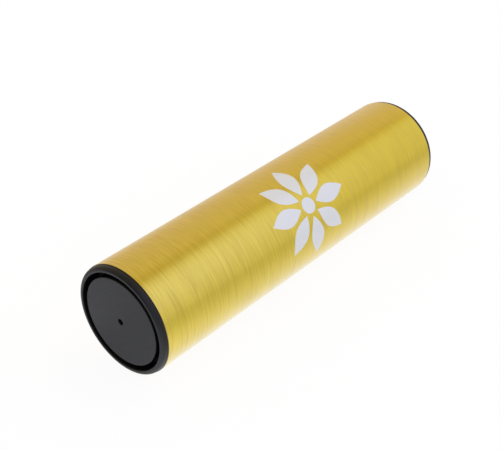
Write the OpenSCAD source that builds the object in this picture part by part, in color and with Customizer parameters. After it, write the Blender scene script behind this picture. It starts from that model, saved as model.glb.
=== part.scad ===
// Ganza shaker: a brushed aluminium tube with a plastic cap pressed into each end, and steel
// shot that runs along the tube and swings round inside it.
// The tube lies on its side along X, with the near cap at the -X end and +Z up. The origin is
// on the surface that the tube lies on, under its middle. All lengths are in millimetres.

/* [Tube] */
// Length of the tube
tube_length = 222.6; // [180:0.1:300]
// Outside diameter of the tube
tube_d = 60; // [50:0.5:80]
// Wall of the tube
tube_wall = 1.5; // [1:0.1:3]
// Radius of the tube's outer edge, at each end
tube_edge_round = 0.4; // [0.1:0.05:0.5]
// Chamfer that leads the cap into the bore, at each end
bore_lead_in = 0.5; // [0.1:0.05:0.6]

/* [End caps] */
// Thickness of the flange that covers the tube's end
flange_thickness = 3.1; // [2.5:0.1:4]
// How far the flange's rim stays inside the tube's outer surface
flange_step = 0.4; // [0.1:0.05:0.8]
// Radius of the flange's outer edge
flange_round = 2; // [0.5:0.1:2.2]
// How far the plug reaches into the tube
plug_depth = 12; // [10:0.5:20]
// Gap between the plug's wall and the bore
plug_clearance = 0.15; // [0.05:0.05:0.3]
// Wall of the plug
plug_wall = 1.5; // [1:0.1:2.5]
// Width of the round groove in the cap's face
groove_width = 2.7; // [1.5:0.1:4]
// Depth of the groove below the flange's face
groove_depth = 9.5; // [4:0.5:10]
// Radius of the two edges beside the groove
groove_edge_round = 0.4; // [0.1:0.05:0.5]
// Thickness of the groove's floor and of its inner wall
groove_wall = 1.7; // [1:0.1:2.5]
// Thickness of the round plate inside the groove
plate_thickness = 2; // [1:0.1:2.5]
// How far the plate's face lies below the flange's face
plate_recess = 0.4; // [0:0.1:1]
// Diameter of the air hole in the middle of the plate
vent_d = 3.4; // [1:0.1:4]

/* [Grip ribs] */
// Number of ribs round each plug
rib_count = 3; // [2:1:4]
// Width of a rib, along the tube
rib_width = 0.8; // [0.5:0.1:1.2]
// How far a rib bites into the bore
rib_bite = 0.1; // [0.05:0.01:0.2]
// Distance from the tube's end to the middle of the first rib
rib_start = 2.5; // [2:0.1:4]
// Distance between the middles of the ribs
rib_pitch = 3; // [2:0.1:4]

/* [Shot] */
// Diameter of a pellet
shot_d = 4.5; // [3:0.1:6]
// Gap between pellets, and between a pellet and the bore
shot_gap = 0.1; // [0.05:0.05:0.3]
// Rows of pellets in each group, along the tube
rows_per_group = 3; // [2:1:4]
// No pellet's middle lies higher than this above the bottom of the bore
fill_depth = 8; // [6:0.1:10]

/* [Hidden] */
$fn = 96;

group_count = 8;
cut_overrun = 1;
// The tube's seam lies this many degrees off its top
seam_turn = 1.14;
tube_gold = [0.80, 0.69, 0.30];
cap_black = [0.17, 0.17, 0.18];
shot_steel = [0.62, 0.63, 0.65];

// Radii of the tube and the caps, from the outside in
tube_r = tube_d / 2;
flange_r = tube_r - flange_step;
bore_r = tube_r - tube_wall;
rib_r = bore_r + rib_bite;
plug_r = bore_r - plug_clearance;
groove_outer_r = plug_r - plug_wall;
plate_r = groove_outer_r - groove_width;
hollow_r = plate_r - groove_wall;
vent_r = vent_d / 2;

// The flange's rounded edge leaves room for the one beside the groove
rim_round = min(flange_round, flange_r - groove_outer_r - groove_edge_round);

// Heights in a cap's section, where zero is the tube's end and up is out of the tube
face_height = flange_thickness;
plate_height = face_height - plate_recess;
plate_underside = plate_height - plate_thickness;
groove_floor = face_height - groove_depth;
groove_underside = groove_floor - groove_wall;

// The pellets lie in two layers, in rows across the tube. An upper pellet sits in the hollow
// between four lower ones, one pitch from each of them and from the upper ones beside it.
shot_r = shot_d / 2;
shot_pitch = shot_d + shot_gap;
layer_rise = shot_pitch / sqrt(2);
lower_layer_r = bore_r - shot_gap - shot_r;
upper_layer_r = norm([lower_layer_r - layer_rise, shot_pitch / 2]);
half_step_angle = atan2(shot_pitch / 2, lower_layer_r - layer_rise);
steps_each_way = ceil(45 / half_step_angle);

group_length = rows_per_group * shot_pitch;
heap_length = shot_pitch + group_count * group_length;
lead_x = (shot_pitch - heap_length) / 2;

// What a corner at the origin, filled towards +X and +Y, loses when it is rounded.
module corner_waste(radius) {
    difference() {
        translate([-cut_overrun, -cut_overrun])
            square(radius + cut_overrun);
        translate([radius, radius])
            circle(radius);
    }
}

// Half of the tube's wall in section. The tube's middle is at zero and its end is up.
module half_wall_section() {
    end = tube_length / 2;
    difference() {
        translate([bore_r, 0])
            square([tube_wall, end]);
        translate([tube_r, end])
            rotate(180)
                corner_waste(tube_edge_round);
        polygon([[bore_r - cut_overrun, end - bore_lead_in - cut_overrun],
                 [bore_r + bore_lead_in + cut_overrun, end + cut_overrun],
                 [bore_r - cut_overrun, end + cut_overrun]]);
    }
}

module tube() {
    color(tube_gold)
        translate([0, 0, tube_r])
            rotate([seam_turn, 0, 0])
                rotate([0, -90, 0])
                    rotate_extrude() {
                        half_wall_section();
                        mirror([0, 1])
                            half_wall_section();
                    }
}

module grip_ribs_section() {
    for (rib = [0 : rib_count - 1])
        translate([groove_outer_r, -rib_start - rib * rib_pitch - rib_width / 2])
            square([rib_r - groove_outer_r, rib_width]);
}

// The round groove, and the shallow recess inside it that ends at the plate's face.
module groove_section() {
    translate([plate_r, groove_floor])
        square([groove_width, groove_depth + cut_overrun]);
    translate([-cut_overrun, plate_height])
        square([plate_r + 2 * cut_overrun, plate_recess + cut_overrun]);
    translate([plate_r, plate_height])
        rotate(180)
            corner_waste(groove_edge_round);
    translate([groove_outer_r, face_height])
        rotate(-90)
            corner_waste(groove_edge_round);
}

// What lies open behind the cap, towards the shot: a space behind the groove's floor, and a
// narrower one that reaches on to the plate.
module back_hollow_section() {
    back = -plug_depth - cut_overrun;
    translate([-cut_overrun, back])
        square([groove_outer_r + cut_overrun, groove_underside - back]);
    translate([-cut_overrun, back])
        square([hollow_r + cut_overrun, plate_underside - back]);
}

module vent_section() {
    translate([-cut_overrun, plate_underside - cut_overrun])
        square([vent_r + cut_overrun, plate_thickness + 2 * cut_overrun]);
}

module cap_section() {
    difference() {
        union() {
            square([flange_r, flange_thickness]);
            translate([0, -plug_depth])
                square([plug_r, plug_depth]);
            grip_ribs_section();
        }
        translate([flange_r, face_height])
            rotate(180)
                corner_waste(rim_round);
        groove_section();
        back_hollow_section();
        vent_section();
    }
}

// A cap in the tube's end on one side: -1 is the near end and 1 is the far end.
module end_cap(side) {
    color(cap_black)
        translate([side * tube_length / 2, 0, tube_r])
            rotate([0, side * 90, 0])
                rotate_extrude()
                    cap_section();
}

// A pellet of the layer at that radius, so many half steps round from the bottom.
module pellet(x, layer_r, half_steps) {
    angle = half_steps * half_step_angle;
    translate([x, layer_r * sin(angle), tube_r - layer_r * cos(angle)])
        sphere(shot_r);
}

// The places across a layer, in half steps from the bottom, that lie below the fill depth.
// The lower layer has a pellet at the bottom, and the upper layer starts a half step away.
function places_across(layer_r, first_place) =
    [for (step = [-steps_each_way : steps_each_way])
        let (place = 2 * step + first_place)
        if (bore_r - layer_r * cos(place * half_step_angle) <= fill_depth)
            place];

module lead_pellet() {
    color(shot_steel)
        pellet(lead_x, lower_layer_r, 0);
}

module shot_group(group) {
    first_row_x = lead_x + shot_pitch + (group - 1) * group_length;
    color(shot_steel) {
        for (row = [0 : rows_per_group - 1], place = places_across(lower_layer_r, 0))
            pellet(first_row_x + row * shot_pitch, lower_layer_r, place);
        for (row = [0 : rows_per_group - 2], place = places_across(upper_layer_r, 1))
            pellet(first_row_x + (row + 1 / 2) * shot_pitch, upper_layer_r, place);
    }
}

tube();
end_cap(-1);  // near_cap
end_cap(1);  // far_cap
lead_pellet();
for (group = [1 : group_count])
    shot_group(group);
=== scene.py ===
# %% [markdown]
# # A ganza: a tube shaker of brushed, gold-anodised aluminium
#
# The shaker is a round tube with a black moulded cap pressed into each end and loose steel
# shot sealed inside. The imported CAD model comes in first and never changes: it fixes the
# size and the place of everything. What the eye meets, the tube and the two caps, is then
# made again as finer surfaces in the same places, because the CAD mesh has flat strips round
# the tube that a shiny metal would show. The shot stays as the CAD made it.

import math

import bpy
import numpy as np
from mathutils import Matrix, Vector


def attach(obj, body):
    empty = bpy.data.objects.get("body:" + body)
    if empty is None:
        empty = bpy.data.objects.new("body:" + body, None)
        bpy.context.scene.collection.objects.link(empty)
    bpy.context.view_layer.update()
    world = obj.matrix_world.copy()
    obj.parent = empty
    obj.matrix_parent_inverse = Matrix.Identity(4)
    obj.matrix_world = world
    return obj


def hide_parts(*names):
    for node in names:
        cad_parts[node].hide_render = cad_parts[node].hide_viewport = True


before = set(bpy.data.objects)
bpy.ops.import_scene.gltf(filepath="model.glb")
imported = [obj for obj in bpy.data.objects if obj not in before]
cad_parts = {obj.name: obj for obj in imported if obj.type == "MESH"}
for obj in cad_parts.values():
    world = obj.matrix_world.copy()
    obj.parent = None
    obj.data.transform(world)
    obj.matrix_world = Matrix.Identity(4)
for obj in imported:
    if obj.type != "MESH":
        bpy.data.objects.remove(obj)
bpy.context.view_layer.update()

# %% [markdown]
# ## Real sizes
#
# These are the sizes of the CAD model, in millimetres. A CAD node's box would give only its
# outside, so each radius is written down here by name. A cap is described as a machinist
# would: by how far a point lies out of the tube's end and how far it lies off the axis.

# %% Sizes of the tube and the caps
MM = 0.001

TUBE_LENGTH = 222.6
TUBE_R = 30.0
BORE_R = 28.5
TUBE_EDGE_ROUND = 0.4
BORE_LEAD_IN = 0.5

FLANGE_R = 29.6
FLANGE_THICKNESS = 3.1
RIM_ROUND = 2.0
PLATE_RECESS = 0.4
PLUG_R = 28.35
PLUG_DEPTH = 12.0
GROOVE_OUTER_R = 26.85
PLATE_R = 24.15
GROOVE_FLOOR = -6.4
GROOVE_UNDERSIDE = -8.1
GROOVE_EDGE_ROUND = 0.4
HOLLOW_R = 22.45
PLATE_UNDERSIDE = 0.7
VENT_R = 1.7
VENT_EDGE_ROUND = 0.15
RIB_R = 28.6
RIB_WIDTH = 0.8
RIB_MIDDLES = (-8.5, -5.5, -2.5)

END = TUBE_LENGTH / 2
print("over all:", round(2 * (END + FLANGE_THICKNESS), 1), "mm long,", 2 * TUBE_R, "mm across")

# %% [markdown]
# ## The camera
#
# It stands where the photographer's stood: before the near cap, a little above, looking down
# along the tube with a short telephoto lens. It could be placed by eye, but on a long thing
# seen from close by, a camera that is a little too near changes every proportion. So its
# place was worked out from the outlines of the tube and the cap, and no shift is needed.

# %% Camera
CAMERA_PLACE = Vector((-360.96, -298.53, 343.36)) * MM
CAMERA_AIM = Vector((-19.12, 0.0, 38.415)) * MM
LENS = 73.512
SENSOR = 36.0

camera_data = bpy.data.cameras.new("camera")
camera_data.lens = LENS
camera_data.sensor_width = SENSOR
camera = bpy.data.objects.new("camera", camera_data)
camera.location = CAMERA_PLACE
camera.rotation_euler = (CAMERA_AIM - CAMERA_PLACE).to_track_quat("-Z", "Y").to_euler()
bpy.context.scene.collection.objects.link(camera)
bpy.context.scene.camera = camera
print("camera is", round((CAMERA_AIM - CAMERA_PLACE).length, 3), "m from what it looks at")

# %% [markdown]
# ## Turned surfaces
#
# A tube and a moulded cap are both round about one axis, so both come from a section that is
# swept round that axis, as a lathe makes a shape. A section here is a closed line of points,
# each with its place along the axis and its distance off it. Rounded edges are arcs of
# points, because a sharp edge catches no light and looks like a drawing.


# %% Points of a rounded edge
def arc(centre, radius, start, end, steps=8):
    """Points of an arc: centre + radius (cos a, sin a), where a goes from start to end degrees."""
    a = np.radians(np.linspace(start, end, steps + 1))
    return np.column_stack([centre[0] + radius * np.cos(a), centre[1] + radius * np.sin(a)])


print("a quarter round of 1 mm:", arc((0, 0), 1, 90, 0, steps=2).round(2).tolist())

# %% [markdown]
# ### The sweep
#
# Blender's Screw modifier or its Spin tool could turn the section too. Here numpy works it
# out, because then points, faces and UV map follow from the same two numbers, the point of
# the section and the turn round the axis, and the surface closes without doubles to merge.

# %% Points of a sweep
# so many flat faces round the tube that the eye finds none of them
TURNS = 192


def swept_points(section):
    """Each of the section's points at every turn, as rows (x, y, z) in metres.

    Point (s, a) = (along(s), -off(s) sin a, tube radius + off(s) cos a), with the angle a
    from the top towards the viewer's side.
    """
    along, off = section[:, :1] * MM, section[:, 1:] * MM
    a = np.linspace(-np.pi, np.pi, TURNS, endpoint=False)
    x, y, z = np.broadcast_arrays(along, -off * np.sin(a), TUBE_R * MM + off * np.cos(a))
    return np.stack([x, y, z], axis=-1).reshape(-1, 3)


print("one point becomes a ring of", len(swept_points(np.array([[0.0, TUBE_R]]))), "points")

# %% [markdown]
# #### Faces
#
# A face lies between two neighbours on the section, at one turn and the next. The section is
# a closed line and the turns make a full circle, so the surface closes both ways and needs
# no caps. Taking the corners in the same order everywhere makes all faces point one way.


# %% Faces of a sweep
def swept_faces(count):
    """Faces between each point and turn and the next, where the last meets the first again."""
    s, turn = np.divmod(np.arange(count * TURNS), TURNS)
    here, beyond = s * TURNS, (s + 1) % count * TURNS
    next_turn = (turn + 1) % TURNS
    return np.stack([here + turn, here + next_turn, beyond + next_turn, beyond + turn], axis=-1)


print("a section of 3 points becomes", len(swept_faces(3)), "faces")

# %% [markdown]
# #### Unrolled map
#
# The brushing and the print follow the surface, so the shader has to know where on it a
# point lies. Blender's Unwrap would fit the surface to a square of its own choosing, and a
# print on it couldn't be given in millimetres. So the map is worked out with the points: it
# is the surface laid flat, in metres.


# %% Unrolled map of a sweep
def unrolled_map(section, zero_at):
    """The surface unrolled, in metres, as (U, V) for each corner of each face.

    U is the distance round the tube from its top, and V is the distance walked along the
    section from the point numbered zero_at. The map's own seam lies at the bottom, out of
    sight.
    """
    s, turn = np.divmod(np.arange(len(section) * TURNS), TURNS)
    steps = np.linalg.norm(np.roll(section, -1, axis=0) - section, axis=1) * MM
    walked = np.concatenate([[0.0], np.cumsum(steps)])
    walked -= walked[zero_at]
    around = (np.arange(TURNS + 1) / TURNS - 0.5) * 2 * np.pi * TUBE_R * MM
    u = np.stack([around[turn], around[turn + 1], around[turn + 1], around[turn]], axis=-1)
    v = np.stack([walked[s], walked[s], walked[s + 1], walked[s + 1]], axis=-1)
    return np.stack([u, v], axis=-1)


print("laid flat, the tube is", round(2 * math.pi * TUBE_R, 1), "mm wide")

# %% [markdown]
# ### From arrays to a mesh
#
# Smooth shading hides the narrow faces round the tube, and edges sharper than 30 degrees are
# kept crisp. A flat face beside a rounded edge would still shade as if it bulged, so a
# Weighted Normal modifier keeps it flat right up to the edge. The faces all come from one
# rule and so point the same way, and a volume above zero says that this is outwards.

# %% Sweep into a mesh
SHARP_ANGLE = math.radians(30)


def sweep_round(name, section, zero_at=0):
    """A closed section in mm, as rows (along, off), swept round the tube's axis into a mesh.

    The section runs with the solid on its right-hand side. The volume is a sixth of the sum
    of a . (b x c) over the triangles a, b, c.
    """
    points, faces = swept_points(section), swept_faces(len(section))
    mesh = bpy.data.meshes.new(name)
    mesh.from_pydata(points.tolist(), [], faces.tolist())
    uv = mesh.uv_layers.new(name="unrolled")
    uv.data.foreach_set("uv", unrolled_map(section, zero_at).ravel())
    mesh.shade_smooth()
    mesh.set_sharp_from_angle(angle=SHARP_ANGLE)
    piece = bpy.data.objects.new(name, mesh)
    bpy.context.scene.collection.objects.link(piece)
    weigh = piece.modifiers.new("flat faces stay flat", "WEIGHTED_NORMAL")
    weigh.keep_sharp = True

    triangles = np.concatenate([points[faces[:, [0, 1, 2]]], points[faces[:, [0, 2, 3]]]])
    volume = np.einsum("ij,ij->i", triangles[:, 0], np.cross(triangles[:, 1], triangles[:, 2]))
    print(f"{name}: {len(faces)} faces, {volume.sum() / 6 / MM**3:.0f} mm3")
    return piece


# %% [markdown]
# ## The tube
#
# The real one is drawn aluminium tube, cut to length, with its edges broken so that they
# don't cut a hand, and a small chamfer inside each end that lets the cap in. A cylinder with
# Solidify and Bevel modifiers would come close, but a round outside and a chamfer inside are
# easier to say in a section. The near half is the far half mirrored. Two calls then say which
# body the piece rides on and hide the CAD node that it stands for.

# %% Tube
edge_centre = (END - TUBE_EDGE_ROUND, TUBE_R - TUBE_EDGE_ROUND)
far_half = np.vstack(
    [
        [[0.0, TUBE_R]],
        arc(edge_centre, TUBE_EDGE_ROUND, 90, 0),
        [[END, BORE_R + BORE_LEAD_IN], [END - BORE_LEAD_IN, BORE_R]],
    ]
)
near_half = (far_half * [-1, 1])[:0:-1]
tube_section = np.vstack([near_half, far_half, [[0.0, BORE_R]]])
tube = sweep_round("brushed_tube", tube_section, zero_at=len(near_half))
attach(tube, "shell")
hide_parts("tube")

# %% [markdown]
# ## The caps
#
# Each cap is one moulding: a flange that covers the tube's end, a round plate inside a deep
# groove, a little below the flange's crest, and a plug with three ribs that grip the bore.
# The outer edge of the flange is a full 2 mm round, and that is what draws the dark ring
# with its soft sheen. A small hole in the plate lets the air out as the cap goes in. Grooves
# and holes could be cut from a disc with Booleans, but cuts leave long thin faces that shade
# badly, and a swept section has none.


# %% Section of a cap
def rib(middle):
    """A grip rib's four corners, along the plug."""
    low, high = middle - RIB_WIDTH / 2, middle + RIB_WIDTH / 2
    return [[low, PLUG_R], [low, RIB_R], [high, RIB_R], [high, PLUG_R]]


plate_face = FLANGE_THICKNESS - PLATE_RECESS
rim_centre = (FLANGE_THICKNESS - RIM_ROUND, FLANGE_R - RIM_ROUND)
groove_centre = (FLANGE_THICKNESS - GROOVE_EDGE_ROUND, GROOVE_OUTER_R + GROOVE_EDGE_ROUND)
plate_centre = (plate_face - GROOVE_EDGE_ROUND, PLATE_R - GROOVE_EDGE_ROUND)
vent_centre = (plate_face - VENT_EDGE_ROUND, VENT_R + VENT_EDGE_ROUND)
cap_section = np.vstack(
    [
        [[-PLUG_DEPTH, GROOVE_OUTER_R], [-PLUG_DEPTH, PLUG_R]],
        *[rib(middle) for middle in RIB_MIDDLES],
        [[0.0, PLUG_R], [0.0, FLANGE_R]],
        arc(rim_centre, RIM_ROUND, 90, 0, steps=16),
        arc(groove_centre, GROOVE_EDGE_ROUND, 0, -90),
        [[GROOVE_FLOOR, GROOVE_OUTER_R], [GROOVE_FLOOR, PLATE_R]],
        arc(plate_centre, GROOVE_EDGE_ROUND, 90, 0),
        arc(vent_centre, VENT_EDGE_ROUND, 0, -90, steps=4),
        [[PLATE_UNDERSIDE, VENT_R], [PLATE_UNDERSIDE, HOLLOW_R]],
        [[GROOVE_UNDERSIDE, HOLLOW_R], [GROOVE_UNDERSIDE, GROOVE_OUTER_R]],
    ]
)
print("a cap's section has", len(cap_section), "points")

# %% [markdown]
# ### Both ends
#
# Both caps are taken to come out of the same mould, so the near one's section is the far
# one's mirrored. A mirrored line runs the other way round, so its points are put in reverse
# order, which keeps the faces pointing outwards.

# %% Caps
far_section = cap_section + [END, 0]
near_section = (far_section * [-1, 1])[::-1]
caps = []
for name, section, node in (
    ("near_end_cap", near_section, "near_cap"),
    ("far_end_cap", far_section, "far_cap"),
):
    cap = sweep_round(name, section)
    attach(cap, "shell")
    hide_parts(node)
    caps.append(cap)

# %% [markdown]
# ## Materials
#
# Colours are written as sRGB hex, as a paint chart gives them, and one function turns them
# into the linear values that light is reckoned in. Nodes could be placed and joined by hand
# in the Shader Editor, but written down they can be read like a recipe. One function adds a
# node, fills in its inputs and joins it to the nodes before it.


# %% Colour and node helpers
def linear(hex_colour):
    """sRGB #rrggbb to linear RGBA.

    A channel c becomes c / 12.92 up to 0.04045, and ((c + 0.055) / 1.055) ** 2.4 above it.
    """
    channels = [int(hex_colour[i : i + 2], 16) / 255 for i in (1, 3, 5)]
    return (*[c / 12.92 if c <= 0.04045 else ((c + 0.055) / 1.055) ** 2.4 for c in channels], 1.0)


def add(tree, kind, inputs=(), **settings):
    """Adds a node with its settings, fills its inputs and returns it.

    The inputs are a dict by name, or a list in the order in which the node shows them. One
    that is a socket is linked, one that is a node is linked from the first output that it
    shows, and any other is a value to set.
    """
    node = tree.nodes.new(kind)
    for name, value in settings.items():
        setattr(node, name, value)
    if isinstance(inputs, dict):
        filled = [(node.inputs[name], value) for name, value in inputs.items()]
    else:
        filled = zip([socket for socket in node.inputs if socket.enabled], inputs)
    for socket, value in filled:
        if isinstance(value, bpy.types.Node):
            value = next(output for output in value.outputs if output.enabled)
        if isinstance(value, bpy.types.NodeSocket):
            tree.links.new(value, socket)
        else:
            socket.default_value = value
    return node


def new_material(name):
    """An empty material and its node tree."""
    material = bpy.data.materials.new(name)
    material.use_nodes = True
    material.node_tree.nodes.clear()
    return material, material.node_tree


print("mid grey #808080 is", round(linear("#808080")[0], 3), "of white in linear light")

# %% [markdown]
# ### Brushed, gold-anodised aluminium
#
# The tube was turned against an abrasive belt, so fine scratches run round it, and was then
# anodised and dyed. A picture of brushed metal could be wrapped round it, but it would show
# a seam and go soft close up. Noise has neither fault: drawn out 20 mm long round the tube
# and left narrow along it, its grains become scratches. Real ones are about 0.1 mm apart,
# too fine to show, so they are drawn coarser here, at 0.6 mm, with deeper and darker ones
# among them.

# %% Scratches
FINE_SCRATCH = 0.6 * MM
DEEP_SCRATCH = 0.8 * MM
SCRATCH_LENGTH = 20 * MM


def scratches(tree, place, width, detail):
    """Noise drawn out into rings: as fine as the width along X, and long round the tube."""
    scale = (1 / width, 1 / SCRATCH_LENGTH, 1 / SCRATCH_LENGTH)
    drawn_out = add(tree, "ShaderNodeMapping", {"Vector": place, "Scale": scale})
    return add(
        tree,
        "ShaderNodeTexNoise",
        {"Vector": drawn_out, "Scale": 1.0, "Detail": detail, "Roughness": 0.6},
    )


brushed, tree = new_material("gold_anodised_aluminium_brushed")
place = add(tree, "ShaderNodeTexCoord").outputs["Object"]
fine = scratches(tree, place, FINE_SCRATCH, detail=2.0)
deep_noise = scratches(tree, place, DEEP_SCRATCH, detail=1.0)
print("scratches are", FINE_SCRATCH / MM, "and", DEEP_SCRATCH / MM, "mm wide")

# %% [markdown]
# #### Dyed gold, with a painted gleam
#
# The oxide layer soaked up its dye unevenly: the crests between scratches are paler. The gold
# is also paler and whiter on the near half than towards the far end: that is a painted gleam
# of light, which fades out along the tube. Each is a mix of two colours, steered by the
# scratches or by the place along the tube. The deep scratches are a darker gold, and they are
# drawn fainter towards the far end.

# %% Gold with its scratches
# a noise keeps close to 0.5: a narrow range round that draws every scratch, and one above it
# picks out the deep ones
SCRATCH_NOISE = 0.35, 0.65
DEEP_NOISE = 0.52, 0.7
# the near half's gold is paler and whiter, a painted gleam that fades out between these two places
# along the tube
GLEAM_FADES = -80 * MM, 80 * MM
WEAR_CHANGES = -100 * MM, 100 * MM
WEAR = 1.0, 0.4

towards_far = add(tree, "ShaderNodeSeparateXYZ", [place]).outputs["X"]
gleam_faded = add(
    tree, "ShaderNodeMapRange", [towards_far, *GLEAM_FADES], interpolation_type="SMOOTHSTEP"
)
streak = add(tree, "ShaderNodeMapRange", [fine, *SCRATCH_NOISE])
# the near pair of colours carries a painted gleam of light, and the far pair is the plain gold
gleaming_near_gold, far_gold = [
    add(tree, "ShaderNodeMix", [streak, linear(groove), linear(crest)], data_type="RGBA")
    for groove, crest in (("#DBC13A", "#E3CA42"), ("#DCBE1A", "#E4C71F"))
]
gold = add(tree, "ShaderNodeMix", [gleam_faded, gleaming_near_gold, far_gold], data_type="RGBA")
deep = add(tree, "ShaderNodeMapRange", [deep_noise, *DEEP_NOISE], interpolation_type="SMOOTHSTEP")
wear = add(tree, "ShaderNodeMapRange", [towards_far, *WEAR_CHANGES, *WEAR])
worn = add(tree, "ShaderNodeMath", [deep, wear], operation="MULTIPLY")
scratched = add(tree, "ShaderNodeMix", [worn, gold, linear("#D3B734")], data_type="RGBA")
print("scratched gold takes", len(tree.nodes), "nodes")

# %% [markdown]
# #### The print
#
# A white ornament is screen-printed on the side that faces the viewer: a rosette of eight
# petals round a dot, with bare metal between them. It could be an image, but a formula stays
# sharp at any size. It is drawn from the unrolled UV map, in metres on the tube. Folding the
# angle round the rosette's middle makes one petal stand for all eight, and a petal's edge is
# a half wave of a sine, from its root to its tip.

# %% Petals
PRINT_ROUND, PRINT_ALONG = 25.3 * MM, 2.5 * MM
PETALS = 8
PETAL_ROOT, PETAL_TIP = 6.0 * MM, 29.0 * MM
PETAL_HALF_WIDTH = 5.2 * MM
INK_EDGE = 0.15 * MM

unrolled = add(tree, "ShaderNodeUVMap", uv_map="unrolled")
unrolled = add(tree, "ShaderNodeSeparateXYZ", [unrolled]).outputs
from_middle = [
    add(tree, "ShaderNodeMath", [unrolled[way], middle], operation="SUBTRACT")
    for way, middle in (("X", PRINT_ROUND), ("Y", PRINT_ALONG))
]
squares = [add(tree, "ShaderNodeMath", [way, way], operation="MULTIPLY") for way in from_middle]
both_squares = add(tree, "ShaderNodeMath", squares, operation="ADD")
distance = add(tree, "ShaderNodeMath", [both_squares], operation="SQRT")
angle = add(tree, "ShaderNodeMath", from_middle, operation="ARCTAN2")
off_petal = add(tree, "ShaderNodeMath", [angle, math.pi / PETALS], operation="PINGPONG")
sine = add(tree, "ShaderNodeMath", [off_petal], operation="SINE")
cosine = add(tree, "ShaderNodeMath", [off_petal], operation="COSINE")
beside = add(tree, "ShaderNodeMath", [distance, sine], operation="MULTIPLY")
outward = add(tree, "ShaderNodeMath", [distance, cosine], operation="MULTIPLY")
along_petal = add(tree, "ShaderNodeMapRange", [outward, PETAL_ROOT, PETAL_TIP, 0.0, math.pi])
wave = add(tree, "ShaderNodeMath", [along_petal], operation="SINE")
# drawn in by the ink's soft edge, so that no hairline of ink runs on beyond the petal's tip
petal_edge = add(
    tree, "ShaderNodeMath", [wave, PETAL_HALF_WIDTH, -INK_EDGE], operation="MULTIPLY_ADD"
)
print("the petals reach", PETAL_TIP / MM, "mm from the print's middle")

# %% [markdown]
# #### Ink on the metal
#
# The ink is thin and opaque: it hides the metal and leaves only the clear gleam. A point's
# distance outside the petal's edge or the dot's, taken from just inside to just outside,
# turns into 1 under the ink and 0 beside it, with a soft edge 0.3 mm wide.

# %% Ink
DOT_R = 4.5 * MM

outside = [
    add(tree, "ShaderNodeMath", [reach, edge], operation="SUBTRACT")
    for reach, edge in ((beside, petal_edge), (distance, DOT_R))
]
covered = [
    add(tree, "ShaderNodeMapRange", [by, -INK_EDGE, INK_EDGE, 1.0, 0.0]) for by in outside
]
ink = add(tree, "ShaderNodeMath", covered, operation="MAXIMUM")
print("the dot is", 2 * DOT_R / MM, "mm across")

# %% [markdown]
# #### The finished tube
#
# Scratches that run round the tube spread a reflection along it and leave it fairly sharp
# across: the lights become long bands beside the tube's edges. In the shader that is
# anisotropy, with its direction taken from the unrolled UV map. The oxide layer is clear and
# glassy, so a thin coat adds a white gleam at grazing angles. Metal and ink could be two
# shaders in a mix, but one is enough: where the ink lies, it takes the ink's colour and its
# metallic value falls to 0. The rounded edge at each end is painted dark brown: that is
# painted shade, a dark line where the tube's edge meets the cap.

# %% Brushed aluminium with the print on it
# the rounded edge at each end, painted dark brown as shade where the tube meets the cap
SEAM_SHADE_SPAN = (END - TUBE_EDGE_ROUND) * MM, (END - TUBE_EDGE_ROUND / 2) * MM
METAL_ROUGHNESS = 0.34, 0.28
SCRATCH_DEPTH = 0.02 * MM

walked_out = add(tree, "ShaderNodeMath", [unrolled["Y"]], operation="ABSOLUTE")
# painted shade: a dark brown line on the rounded edge at each end, beside the cap
seam_shade = add(tree, "ShaderNodeMapRange", [walked_out, *SEAM_SHADE_SPAN])
bare = add(tree, "ShaderNodeMix", [seam_shade, scratched, linear("#4A3A1C")], data_type="RGBA")
colour = add(tree, "ShaderNodeMix", [ink, bare, linear("#F1F4F0")], data_type="RGBA")
metallic = add(tree, "ShaderNodeMath", [1.0, ink], operation="SUBTRACT")
roughness = add(tree, "ShaderNodeMapRange", [fine, *SCRATCH_NOISE, *METAL_ROUGHNESS])
bump = add(tree, "ShaderNodeBump", {"Height": fine, "Strength": 0.2, "Distance": SCRATCH_DEPTH})
tangent = add(tree, "ShaderNodeTangent", direction_type="UV_MAP", uv_map="unrolled")
metal = add(
    tree,
    "ShaderNodeBsdfPrincipled",
    {
        "Base Color": colour,
        "Metallic": metallic,
        "Roughness": roughness,
        "Anisotropic": 0.9,
        "Anisotropic Rotation": 0.25,
        "Coat Weight": 1.0,
        "Coat Roughness": 0.2,
        "Coat IOR": 1.5,
        "Normal": bump,
        "Tangent": tangent,
    },
)
add(tree, "ShaderNodeOutputMaterial", {"Surface": metal})
tube.data.materials.append(brushed)
print("material:", brushed.name)

# %% [markdown]
# ### Moulded black ABS
#
# The caps are injection-moulded. The mould's face is spark-eroded where the plate is, which
# leaves an even, sand-like grain and a dull dark grey. The rim is satin, so it stays black
# with a soft sheen on its round edge. Noise makes both, with the pits darker and glossier
# than the tops. It reads Object coordinates, so that it needs no UV map and has no seam.

# %% Black plastic
# most of a noise lies between these values
NOISE_SPREAD = 0.3, 0.7
ROUGHNESS_SWING = 0.05


def black_plastic(name, pit_colour, top_colour, grain_size, grain_height, roughness, ior):
    """Moulded black plastic with an even grain, whose size and height are in metres."""
    material, tree = new_material(name)
    place = add(tree, "ShaderNodeTexCoord").outputs["Object"]
    grain = add(
        tree,
        "ShaderNodeTexNoise",
        {"Vector": place, "Scale": 1 / grain_size, "Detail": 2.0, "Roughness": 0.5},
    )
    bump = add(tree, "ShaderNodeBump", {"Height": grain, "Strength": 0.6, "Distance": grain_height})
    height = add(tree, "ShaderNodeMapRange", [grain, *NOISE_SPREAD])
    shades = [linear(pit_colour), linear(top_colour)]
    colour = add(tree, "ShaderNodeMix", [height, *shades], data_type="RGBA")
    pit_and_top = roughness - ROUGHNESS_SWING, roughness + ROUGHNESS_SWING
    dullness = add(tree, "ShaderNodeMapRange", [height, 0.0, 1.0, *pit_and_top])
    plastic = add(
        tree,
        "ShaderNodeBsdfPrincipled",
        {"Base Color": colour, "Roughness": dullness, "IOR": ior, "Normal": bump},
    )
    add(tree, "ShaderNodeOutputMaterial", {"Surface": plastic})
    print("material:", material.name)
    return material


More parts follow.
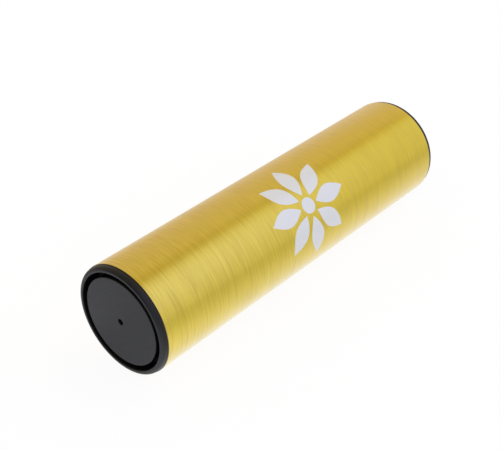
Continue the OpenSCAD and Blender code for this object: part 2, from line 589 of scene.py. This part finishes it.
# %% [markdown]
# #### Satin and spark-eroded
#
# Both finishes are the same plastic. A rougher grain scatters more light, which makes it
# greyer and duller. Real grain is about 0.2 mm across, too fine to show, so the plate's is
# drawn at 0.8 mm and the rim's at 0.4 mm. ABS has an index of refraction near 1.5. The rim's
# was lowered a little, to match how dark it is.

# %% Both plastics
rim_plastic = black_plastic(
    "moulded_abs_satin",
    pit_colour="#0E0E0E",
    top_colour="#121212",
    grain_size=0.4 * MM,
    grain_height=0.01 * MM,
    roughness=0.46,
    ior=1.40,
)
plate_plastic = black_plastic(
    "moulded_abs_spark_eroded",
    pit_colour="#0E0E10",
    top_colour="#242528",
    grain_size=0.8 * MM,
    grain_height=0.16 * MM,
    roughness=0.6,
    ior=1.5,
)
print("two finishes of one plastic:", rim_plastic.name, "and", plate_plastic.name)

# %% [markdown]
# #### Where the grain lies
#
# Each cap is one surface with two finishes. A mask in the material could part them, but the
# finish changes exactly at the plate's edge, so each face simply gets one of two material
# slots, by where its middle lies.

# %% Finishes of the caps
# a face of the plate may have its middle this many millimetres below the plate's surface
PLATE_TOLERANCE = 0.02

for cap in caps:
    cap.data.materials.append(rim_plastic)
    cap.data.materials.append(plate_plastic)
    centres = np.zeros(len(cap.data.polygons) * 3)
    cap.data.polygons.foreach_get("center", centres)
    centres = centres.reshape(-1, 3) / MM
    out = np.abs(centres[:, 0]) - END
    off = np.hypot(centres[:, 1], centres[:, 2] - TUBE_R)
    within_plate = (off < PLATE_R - GROOVE_EDGE_ROUND) & (off > VENT_R + VENT_EDGE_ROUND)
    on_plate = (out > plate_face - PLATE_TOLERANCE) & within_plate
    cap.data.polygons.foreach_set("material_index", on_plate.astype(np.int32))
    print(cap.name, "has", int(on_plate.sum()), "faces with the plate's grain")

# %% [markdown]
# ### Tumbled steel shot
#
# The shot is sealed inside. It is plain steel, tumbled bright, with fine dents. The pellets
# keep the CAD's spheres, which are round enough for something so small, and noise gives them
# their dents. These are drawn 0.8 mm across, coarser than real ones, so that they show.

# %% Steel shot
DENT_SIZE = 0.8 * MM
DENT_DEPTH = 0.03 * MM
STEEL_ROUGHNESS = 0.25, 0.4

steel, tree = new_material("tumbled_steel")
place = add(tree, "ShaderNodeTexCoord").outputs["Object"]
dents = add(tree, "ShaderNodeTexNoise", {"Vector": place, "Scale": 1 / DENT_SIZE, "Detail": 2.0})
dull = add(tree, "ShaderNodeMapRange", [dents, *NOISE_SPREAD, *STEEL_ROUGHNESS])
dented = add(tree, "ShaderNodeBump", {"Height": dents, "Strength": 0.3, "Distance": DENT_DEPTH})
shot = add(
    tree,
    "ShaderNodeBsdfPrincipled",
    {"Base Color": linear("#B9BBBE"), "Metallic": 1.0, "Roughness": dull, "Normal": dented},
)
add(tree, "ShaderNodeOutputMaterial", {"Surface": shot})
for name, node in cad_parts.items():
    if name == "lead_pellet" or name.startswith("shot_group"):
        node.data.materials.clear()
        node.data.materials.append(steel)
print("material:", steel.name)

# %% [markdown]
# ## Floor and light
#
# A product photograph of this kind is taken on a white sweep, inside a soft tent that is lit
# through its cloth. Nothing else lights the shaker. The floor could be a curved sheet that
# runs up behind it, but the world is white to the camera too, so a flat sheet that is large
# enough has no edge to see.

# %% Floor
FLOOR_HALF = 6.0
FLOOR_TOP = -0.1 * MM

corners = np.array([[-1, -1, 0], [1, -1, 0], [1, 1, 0], [-1, 1, 0]]) * FLOOR_HALF
corners[:, 2] = FLOOR_TOP
floor_mesh = bpy.data.meshes.new("floor")
floor_mesh.from_pydata(corners.tolist(), [], [(0, 1, 2, 3)])
floor = bpy.data.objects.new("floor", floor_mesh)
bpy.context.scene.collection.objects.link(floor)
print("floor is", 2 * FLOOR_HALF, "m square")

# %% [markdown]
# ### What metal shows of the floor
#
# Metal mirrors the floor, and there it isn't the same everywhere: whitest just before the
# tube, duller behind it, and dim far out before the near cap. Lamps of many sizes could give
# that, but a run of colours that only reflections show is easier to steer. A Color Ramp node
# holds such a run. Brightness in it is a share of TOP, so that no colour in it passes 1, and
# the light's strength brings TOP in again.

# %% A run of colours
TOP = 2.5


def with_stops(ramp, stops, low=0.0, high=1.0):
    """Gives a Color Ramp node its stops of (place from low to high, hex, brightness).

    A stop's colour is the hex colour in linear light, times its brightness over TOP.
    """
    run = ramp.color_ramp
    while len(run.elements) < len(stops):
        run.elements.new(1.0)
    for element, (place, hex_colour, brightness) in zip(run.elements, stops):
        element.position = (place - low) / (high - low)
        element.color = (*[channel * brightness / TOP for channel in linear(hex_colour)[:3]], 1.0)
    return ramp


print("a colour of full brightness in a run shines", TOP, "times as bright as white paper")

# %% [markdown]
# #### Across the floor
#
# The tube mirrors the floor in long bands, and the near cap mirrors the part that lies before
# it. The two need runs of their own. A stop's place is a share of the way across the floor,
# from before the tube to behind it.

# %% Runs of colour on the floor
# a stop's place is a share of the way from this far before the tube's axis, in metres, to as
# far behind it
SHINE_REACH = 0.3
BESIDE_TUBE = (
    (0.00, "#FFFFEC", 0.79),
    (0.22, "#FFFFEC", 0.79),
    (0.35, "#FFFFF2", 0.93),
    (0.41, "#FFFFFF", 1.05),
    (0.45, "#FCFDFF", 1.18),
    (0.50, "#F8FAF6", 1.00),
    (0.58, "#FFEED4", 0.88),
    (1.00, "#FFEED4", 0.88),
)
BEFORE_CAP = (
    (0.45, "#F8FAFF", 1.50),
    (0.49, "#F8FAFF", 1.00),
    (0.55, "#F8FAFF", 0.90),
    (0.57, "#F8FAFF", 1.55),
    (0.63, "#F8FAFF", 1.20),
    (0.76, "#F6F8FF", 0.70),
)
print("stops:", len(BESIDE_TUBE), "beside the tube,", len(BEFORE_CAP), "before the near cap")

# %% [markdown]
# #### Along the floor
#
# The two runs go across the floor, and the place along the tube says which of them holds and
# how bright it is. The white dims far out before the near cap, and falls off a little towards
# the far one.

# %% The floor as metal shows it
# each is a place along the tube in metres, a further one, and the value at each
SHINE_STARTS = -0.60, -0.25, 0.20, 1.0
SHINE_FALLS = -0.05, 0.10, 1.0, 0.96
BEYOND_CAP = -0.125, -0.105, 1.0, 0.0

white, tree = new_material("white_sweep")
place = add(tree, "ShaderNodeTexCoord").outputs["Object"]
place = add(tree, "ShaderNodeSeparateXYZ", [place]).outputs
across = add(tree, "ShaderNodeMapRange", [place["Y"], -SHINE_REACH, SHINE_REACH])
beside_tube, before_cap = [
    with_stops(add(tree, "ShaderNodeValToRGB", [across]), stops)
    for stops in (BESIDE_TUBE, BEFORE_CAP)
]
starts, falls, beyond_cap = [
    add(tree, "ShaderNodeMapRange", [place["X"], *change])
    for change in (SHINE_STARTS, SHINE_FALLS, BEYOND_CAP)
]
mirrored = add(tree, "ShaderNodeMix", [beyond_cap, beside_tube, before_cap], data_type="RGBA")
along = add(tree, "ShaderNodeMath", [starts, falls], operation="MULTIPLY")
strength = add(tree, "ShaderNodeMath", [along, TOP], operation="MULTIPLY")
shine = add(tree, "ShaderNodeEmission", {"Color": mirrored, "Strength": strength})
print("what metal shows of the floor takes", len(tree.nodes), "nodes")

# %% [markdown]
# ### The white sweep
#
# The sheet is pale and matt. To the camera most of its white is its own, so it stays white
# and still takes a faint shadow where the tube touches it. A Light Path node tells which
# kind of ray is looking: a glossy one, off the metal or the black plastic, gets the runs of
# colour, the camera's gets the plain white, and any other gets the matt sheet.

# %% Floor material
# to the camera, a sheet this dark takes the light and the shadow, and glows this much itself
SHADED_SHEET = linear("#656565")
OWN_LIGHT = 0.91
WHITE = linear("#FFFFFF")

matt = add(tree, "ShaderNodeBsdfDiffuse", {"Color": linear("#E6E6E6")})
faint = add(tree, "ShaderNodeBsdfDiffuse", {"Color": SHADED_SHEET})
glow = add(tree, "ShaderNodeEmission", {"Color": WHITE, "Strength": OWN_LIGHT})
plain = add(tree, "ShaderNodeAddShader", [faint, glow])
ray = add(tree, "ShaderNodeLightPath").outputs
sweep = add(tree, "ShaderNodeMixShader", [ray["Is Glossy Ray"], matt, shine])
sweep = add(tree, "ShaderNodeMixShader", [ray["Is Camera Ray"], sweep, plain])
add(tree, "ShaderNodeOutputMaterial", {"Surface": sweep})
floor_mesh.materials.append(white)
print("material:", white.name)

# %% [markdown]
# ### The tent
#
# Its brightness goes by the angle round the tube: a broad cool light stands in front and
# above, from overhead down to the horizon, and the cloth behind is warmer and duller. Where
# the two meet, right overhead, a narrow seam lets less light through, and the brushed metal
# shows it as a darker line along the tube. The front light is strongest beside the near half.
# So three runs of colour are given, by how far a direction points along the tube. On average
# the tent is about as bright as white paper, so a colour renders about as it is written. The
# first run lies square to the tube, where the cloth is dimmer and keeps the black rim black.

# %% The tent square to the tube
# degrees round the tube from straight overhead towards the viewer's side, colour, brightness
TENT_SQUARE = (
    (-180, "#FFF2E0", 0.72),
    (-80, "#FFF2E0", 0.68),
    (-30, "#FFF4E6", 0.55),
    (-4, "#FFF6EA", 0.42),
    (16, "#FFFFFF", 0.34),
    (60, "#FFFFFF", 0.36),
    (84, "#FFFFFF", 0.54),
    (92, "#FFFFFF", 0.64),
    (180, "#FFFFEC", 0.74),
)
print("dimmest cloth:", min(brightness for _, _, brightness in TENT_SQUARE), "of white paper")

# %% [markdown]
# #### For the near half
#
# The second run is what the near half of the tube mirrors. It holds the broad cool light,
# brightest from 28 to 66 degrees, and the duller, warmer seam, from -4 to 4 degrees.

# %% The tent as the near half mirrors it
TENT_NEAR = (
    (-180, "#FFE4B8", 0.84),
    (-90, "#FFE4B8", 0.84),
    (-40, "#FFEEDB", 0.83),
    (-14, "#FFEFD0", 0.885),
    (-4, "#FFEBB0", 0.715),
    (4, "#FFECB2", 0.765),
    (12, "#FAFAFF", 1.20),
    (28, "#DADCFF", 2.12),
    (48, "#D7DAFF", 2.15),
    (66, "#E6E6FF", 1.57),
    (84, "#FDFDFF", 1.02),
    (92, "#FFFEF4", 0.96),
    (180, "#FFFFEC", 0.82),
)
print("brightest cloth:", max(brightness for _, _, brightness in TENT_NEAR), "times white paper")

# %% [markdown]
# #### For the far half
#
# The far half mirrors cloth that lies further along the tube, past the end of the broad
# light. So the third run is more even, with hardly a seam.

# %% The tent as the far half mirrors it
TENT_FAR = (
    (-180, "#FFF2EC", 0.94),
    (-90, "#FFF2EC", 0.94),
    (-40, "#FFF2E4", 0.88),
    (-14, "#FFF5E4", 0.93),
    (-4, "#FFF9DC", 0.86),
    (4, "#FFF9DC", 0.84),
    (12, "#F8FBF4", 0.80),
    (28, "#EAECEC", 0.74),
    (48, "#EEF0EE", 0.71),
    (66, "#F4F4F4", 0.77),
    (84, "#FEFFFC", 0.80),
    (92, "#FFFFF6", 0.94),
    (180, "#FFFFEC", 0.80),
)
print("cloth towards the far end:", len(TENT_FAR), "stops")

# %% [markdown]
# #### Towards the camera
#
# The tent is open at the camera's end, so it is dim there, and the cap's face stays dark. The
# same white gets four brightnesses by how far a direction points along the tube.

# %% The tent along the tube
# a place of 1 is straight towards the far end, and -1 towards the camera's end
TENT_ALONG = (
    (-1.0, "#FFFFFF", 0.30),
    (-0.8, "#FFFFFF", 0.45),
    (-0.6, "#FFFFFF", 0.85),
    (-0.4, "#FFFFFF", 1.00),
)
# where one run gives way to the next, by the same measure
SQUARE_TO_NEAR = 0.05, 0.5
NEAR_TO_FAR = 0.5, 0.85
print("the camera's end has", TENT_ALONG[0][2], "of the light")

# %% [markdown]
# ### The cloth
#
# Area lamps round the shaker would be the usual way, but the metal would show each lamp's
# edge as a line along the tube, and cloth has none. So the tent is the world itself, drawn
# from the direction that a ray looks in. The direction's angle round the tube picks a colour
# from each of the three runs.

# %% Cloth round the tube
room = bpy.data.worlds.new("tent")
room.use_nodes = True
tree = room.node_tree
tree.nodes.clear()
towards = add(tree, "ShaderNodeTexCoord").outputs["Generated"]
towards = add(tree, "ShaderNodeSeparateXYZ", [towards]).outputs
viewer_side = add(tree, "ShaderNodeMath", [towards["Y"], -1.0], operation="MULTIPLY")
round_angle = add(tree, "ShaderNodeMath", [viewer_side, towards["Z"]], operation="ARCTAN2")
round_share = add(tree, "ShaderNodeMapRange", [round_angle, -math.pi, math.pi])
square, near, far = [
    with_stops(add(tree, "ShaderNodeValToRGB", [round_share]), stops, -180, 180)
    for stops in (TENT_SQUARE, TENT_NEAR, TENT_FAR)
]
print("world:", room.name)

# %% [markdown]
# #### The three runs joined
#
# How far the direction points along the tube says which run holds, and one gives way to the
# next without an edge. The colour round the tube and the brightness along it are each a share
# of TOP, so together they take TOP twice. To the camera the world is plain white.

# %% Cloth along the tube
either_way = add(tree, "ShaderNodeMath", [towards["X"]], operation="ABSOLUTE")
to_near = add(tree, "ShaderNodeMapRange", [either_way, *SQUARE_TO_NEAR])
to_far = add(tree, "ShaderNodeMapRange", [towards["X"], *NEAR_TO_FAR])
up_to_near = add(tree, "ShaderNodeMix", [to_near, square, near], data_type="RGBA")
round_colour = add(tree, "ShaderNodeMix", [to_far, up_to_near, far], data_type="RGBA")
along_share = add(tree, "ShaderNodeMapRange", [towards["X"], -1.0, 1.0])
along = with_stops(add(tree, "ShaderNodeValToRGB", [along_share]), TENT_ALONG, -1.0, 1.0)
strength = add(tree, "ShaderNodeMath", [along, TOP * TOP], operation="MULTIPLY")
cloth = add(tree, "ShaderNodeBackground", {"Color": round_colour, "Strength": strength})
backdrop = add(tree, "ShaderNodeBackground", {"Color": WHITE, "Strength": 1.0})
is_camera = add(tree, "ShaderNodeLightPath").outputs["Is Camera Ray"]
shown = add(tree, "ShaderNodeMixShader", [is_camera, cloth, backdrop])
add(tree, "ShaderNodeOutputWorld", {"Surface": shown})
bpy.context.scene.world = room
bpy.context.scene.view_settings.view_transform = "Standard"
print("light comes from the world:", room.name)
